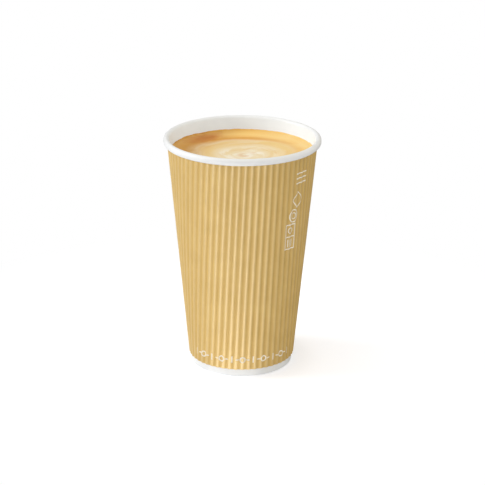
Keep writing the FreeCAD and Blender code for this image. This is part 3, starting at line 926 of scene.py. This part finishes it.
def foam_colour(tree, at):
    """Pale foam stirred into rings and arcs, with tan streaks and a small curl in the swirl's middle."""
    body = colour_ramp(tree, at.stirred, CREMA_RINGS)
    inside = smooth_share((0.74 - at.stirred) / 0.12)
    wave = at.stirred * (FULL_TURN / RING_SPACING) + (at.broad - 0.5) * 7.0 + at.angle
    arcs = (wave.math("COSINE") + 1.0) / 2.0
    pale = smooth_share((at.broad - 0.46) / 0.14) * smooth_share((0.62 - at.radius) / 0.45) * inside
    milky = tint(tree, pale * 0.6 + arcs * inside * 0.3, body, MILK_FOAM)
    tan = smooth_share((0.48 - at.fine) / 0.14) * inside
    streaked = tint(tree, tan * 0.26, milky, TAN_STREAK)
    curl = smooth_share(((at.angle + at.radius * 18.0 + 1.2).math("COSINE") - 0.2) / 0.7)
    curl = curl * smooth_share((0.2 - at.radius) / 0.12) * smooth_share((at.radius + 0.005) / 0.04)
    return tint(tree, curl * 0.5, streaked, CURL_TAN)


def back_colour(tree, at, base):
    """A darker ring at the back, and an orange-brown patch behind it on the left."""
    behind = smooth_share((at.along - 0.2) / 0.3)
    back_ring = behind * smooth_share((at.stirred - 0.65) / 0.045)
    back_ring = back_ring * smooth_share((0.765 - at.stirred) / 0.05)
    ringed = tint(tree, back_ring * 0.75, base, BACK_RING)
    inward = at.along * DIAGONAL - at.across * DIAGONAL
    sideways = at.along * DIAGONAL + at.across * DIAGONAL
    off_middle = inward - PATCH_DISTANCE
    off_spot = off_middle * off_middle * 24.0 + sideways * sideways * 5.0
    patch = smooth_share(1.0 - off_spot + (at.clouds - 0.5) * 1.6 + (at.fine - 0.5))
    return tint(tree, patch * 0.95, ringed, BACK_PATCH)


def side_shading(tree, at, base):
    """A browner, mottled left side and a paler right side: painted shade where the rim shades the left,
    painted light on the right, over the foam's own colour.
    """
    # Painted shade on the left, where the rim shades the drink, and painted light on the right
    leftward = smooth_share((at.along * 0.25 - at.across * 0.9 - 0.1) / 0.62)
    leftward = leftward * smooth_share((at.stirred - 0.45) / 0.3)
    mottled = leftward * (0.62 + 0.33 * smooth_share((at.clouds - 0.42) / 0.16))
    shaded = tint(tree, mottled, base, LEFT_SHADE_BROWN)
    rightward = smooth_share((at.across * 0.9 + at.along * 0.15 - 0.05) / 0.9)
    lit_side = rightward * (0.4 + 0.3 * smooth_share((at.clouds - 0.4) / 0.2))
    return tint(tree, lit_side, shaded, RIGHT_LIT_CREAM)


def make_crema():
    """The drink's surface, as foam with its darker and paler sides, which are partly painted shade and
    painted light.

    Light that the drink throws onto the white wall is muted, since a white board hardly shows it."""
    material, tree, shader = new_material("crema", 0.5, Specular_IOR_Level=0.18)
    position = object_coordinates(tree)
    at = drink_places(tree, position)
    colour = side_shading(tree, at, back_colour(tree, at, foam_colour(tree, at)))
    rays = tree.nodes.new("ShaderNodeLightPath")
    muted = Term(tree, rays.outputs["Is Diffuse Ray"]) * BOUNCE_MUTING
    tree.links.new(tint(tree, muted, colour, BOUNCED_WHITE), shader.inputs["Base Color"])
    froth = place(tree, "ShaderNodeTexVoronoi", Vector=position, Scale=1100.0)
    height = at.fine * 0.3 + at.broad * 0.3 + at.clouds * 0.2 + Term(tree, froth.outputs["Distance"]) * 0.2
    add_bump(tree, shader, height, 0.3, 0.12 * MM)
    return material


# The room


def mix_shaders(tree, factor, first, second):
    """The first shader where the factor is 0, and the second where it is 1."""
    mixed = place(tree, "ShaderNodeMixShader", Fac=factor)
    tree.links.new(first.outputs[0], mixed.inputs[1])
    tree.links.new(second.outputs[0], mixed.inputs[2])
    return mixed


def floor_mesh():
    """A flat round in rings of cells."""
    points = [(0.0, 0.0, 0.0)]
    for number in range(1, FLOOR_RINGS + 1):
        radius = FLOOR_RADIUS * number / FLOOR_RINGS
        for step in range(FLOOR_STEPS):
            angle = FULL_TURN * step / FLOOR_STEPS
            points.append((radius * math.cos(angle), radius * math.sin(angle), 0.0))
    faces = [(0, 1 + step, 1 + (step + 1) % FLOOR_STEPS) for step in range(FLOOR_STEPS)]
    for number in range(FLOOR_RINGS - 1):
        inner = 1 + number * FLOOR_STEPS
        outer = inner + FLOOR_STEPS
        for step in range(FLOOR_STEPS):
            after = (step + 1) % FLOOR_STEPS
            faces.append((inner + step, outer + step, outer + after, inner + after))
    mesh = bpy.data.meshes.new("floor")
    mesh.from_pydata(points, [], faces)
    return mesh


def seen_floor(tree, rays, distance):
    """The floor as the eye sees it: it keeps the shadow near the cup, with a painted shadow under the foot,
    and is plain white further off.
    """
    diffuse = place(tree, "ShaderNodeBsdfDiffuse", Color=FLOOR_COLOUR)
    # Painted shadow: the lift is dimmed near the foot
    under_foot = smooth_share((FOOT_SHADE_END - distance) / FOOT_SHADE_BLUR)
    lift = place(tree, "ShaderNodeEmission", Color=WHITE, Strength=FLOOR_LIFT - under_foot * FOOT_SHADE)
    lifted = place(tree, "ShaderNodeAddShader")
    tree.links.new(diffuse.outputs[0], lifted.inputs[0])
    tree.links.new(lift.outputs[0], lifted.inputs[1])
    near = mix_shaders(tree, rays.outputs["Is Camera Ray"], diffuse, lifted)
    far = smooth_share((distance - BACKDROP_START) / BACKDROP_BLEND)
    backdrop = place(tree, "ShaderNodeEmission", Color=WHITE, Strength=1.0)
    return mix_shaders(tree, far * rays.outputs["Is Camera Ray"], near, backdrop)


def mirrored_floor(tree, across, along, distance):
    """The floor in reflections, as a painted glow: brightest in front of the cup, and dim on the side away
    from the lamp.
    """
    rightward = across / distance
    forward = along / distance * -1.0
    facing = forward * PEAK_AHEAD - rightward * PEAK_LEFT
    peak = SHEEN_PEAK * smooth_share((facing - PEAK_START) / (1.0 - PEAK_START))
    sheen = SHEEN_LEVEL + SHEEN_LEAN * forward - SHEEN_LEAN * rightward + peak
    return place(tree, "ShaderNodeEmission", Color=WHITE, Strength=sheen.math("MAXIMUM", 0.0) * TABLE_SHEEN)


def make_floor():
    """A pale disc under the cup that turns into the white backdrop towards its edge."""
    floor = add_object("floor", floor_mesh())
    floor.location.z = -FLOOR_DROP
    material = bpy.data.materials.new("floor")
    material.use_nodes = True
    tree = material.node_tree
    tree.nodes.clear()
    rays = tree.nodes.new("ShaderNodeLightPath")
    parts = place(tree, "ShaderNodeSeparateXYZ", Vector=object_coordinates(tree))
    across = Term(tree, parts.outputs["X"])
    along = Term(tree, parts.outputs["Y"])
    distance = (across * across + along * along).math("SQRT")
    surface = mix_shaders(tree, rays.outputs["Is Glossy Ray"], seen_floor(tree, rays, distance),
                          mirrored_floor(tree, across, along, distance))
    output = place(tree, "ShaderNodeOutputMaterial")
    tree.links.new(surface.outputs[0], output.inputs["Surface"])
    floor.data.materials.append(material)


def make_world():
    """White behind the cup for the eye, and soft light that is strongest overhead and in front.

    The light that fills in from the right is warmer."""
    world = bpy.data.worlds.new("studio")
    world.use_nodes = True
    tree = world.node_tree
    tree.nodes.clear()
    rays = tree.nodes.new("ShaderNodeLightPath")
    direction = tree.nodes.new("ShaderNodeTexCoord").outputs["Generated"]
    parts = place(tree, "ShaderNodeSeparateXYZ", Vector=direction)
    rightward = Term(tree, parts.outputs["X"])
    backward = Term(tree, parts.outputs["Y"])
    overhead = Term(tree, parts.outputs["Z"]).math("MAXIMUM", 0.0) * OVERHEAD_LIGHT
    fill = rightward.math("MAXIMUM", 0.0) * FILL_LIGHT
    strength = overhead - backward * FRONT_LIGHT + fill + ROOM_LIGHT
    warm_side = smooth_share((rightward + FILL_COLOUR_START) / FILL_COLOUR_BLEND)
    colour = mix_colours(tree, "MIX", warm_side, WHITE, FILL_COLOUR)
    soft = place(tree, "ShaderNodeBackground", Color=colour, Strength=strength)
    backdrop = place(tree, "ShaderNodeBackground", Color=WHITE, Strength=1.0)
    mixed = mix_shaders(tree, rays.outputs["Is Camera Ray"], soft, backdrop)
    output = place(tree, "ShaderNodeOutputWorld")
    tree.links.new(mixed.outputs[0], output.inputs["Surface"])
    bpy.context.scene.world = world


def make_lamp():
    """A square soft box far to the left, that looks at the middle of the cup."""
    lamp = bpy.data.lights.new("side_box", "AREA")
    lamp.shape = "SQUARE"
    lamp.size = LAMP_SIZE
    lamp.energy = LAMP_POWER
    light = bpy.data.objects.new("side_box", lamp)
    bpy.context.scene.collection.objects.link(light)
    light.location = LAMP_PLACE
    sight = Vector((0, 0, CUP_HEIGHT / 2)) - Vector(LAMP_PLACE)
    light.rotation_euler = sight.to_track_quat("-Z", "Y").to_euler()


def make_camera():
    """The photograph's own view."""
    back = Vector((0, -math.cos(CAMERA_ELEVATION), math.sin(CAMERA_ELEVATION)))
    level = Vector((1, 0, 0))
    rise = back.cross(level)
    right = level * math.cos(CAMERA_ROLL) + rise * math.sin(CAMERA_ROLL)
    up = rise * math.cos(CAMERA_ROLL) - level * math.sin(CAMERA_ROLL)
    turned = Matrix((right, up, back)).transposed().to_4x4()
    camera = bpy.data.cameras.new("camera")
    camera.lens = CAMERA_LENS
    camera.sensor_width = SENSOR_WIDTH
    camera.clip_end = SIGHT_END
    holder = bpy.data.objects.new("camera", camera)
    bpy.context.scene.collection.objects.link(holder)
    holder.matrix_world = Matrix.Translation(CAMERA_TARGET + back * CAMERA_DISTANCE) @ turned
    bpy.context.scene.camera = holder


def dress_disc(material):
    """The disc keeps its solid's shape and gets the board's look."""
    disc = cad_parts["bottom_disc"]
    disc.data.materials.clear()
    disc.data.materials.append(material)


fibres = make_fibre_group()
make_wrap(make_kraft(fibres))
make_print(make_ink(fibres))
make_wall(make_coated_board(fibres))
dress_disc(make_plain_board(fibres))
make_drink(make_crema())
make_floor()
make_world()
make_lamp()
make_camera()
bpy.context.scene.view_settings.view_transform = "Standard"
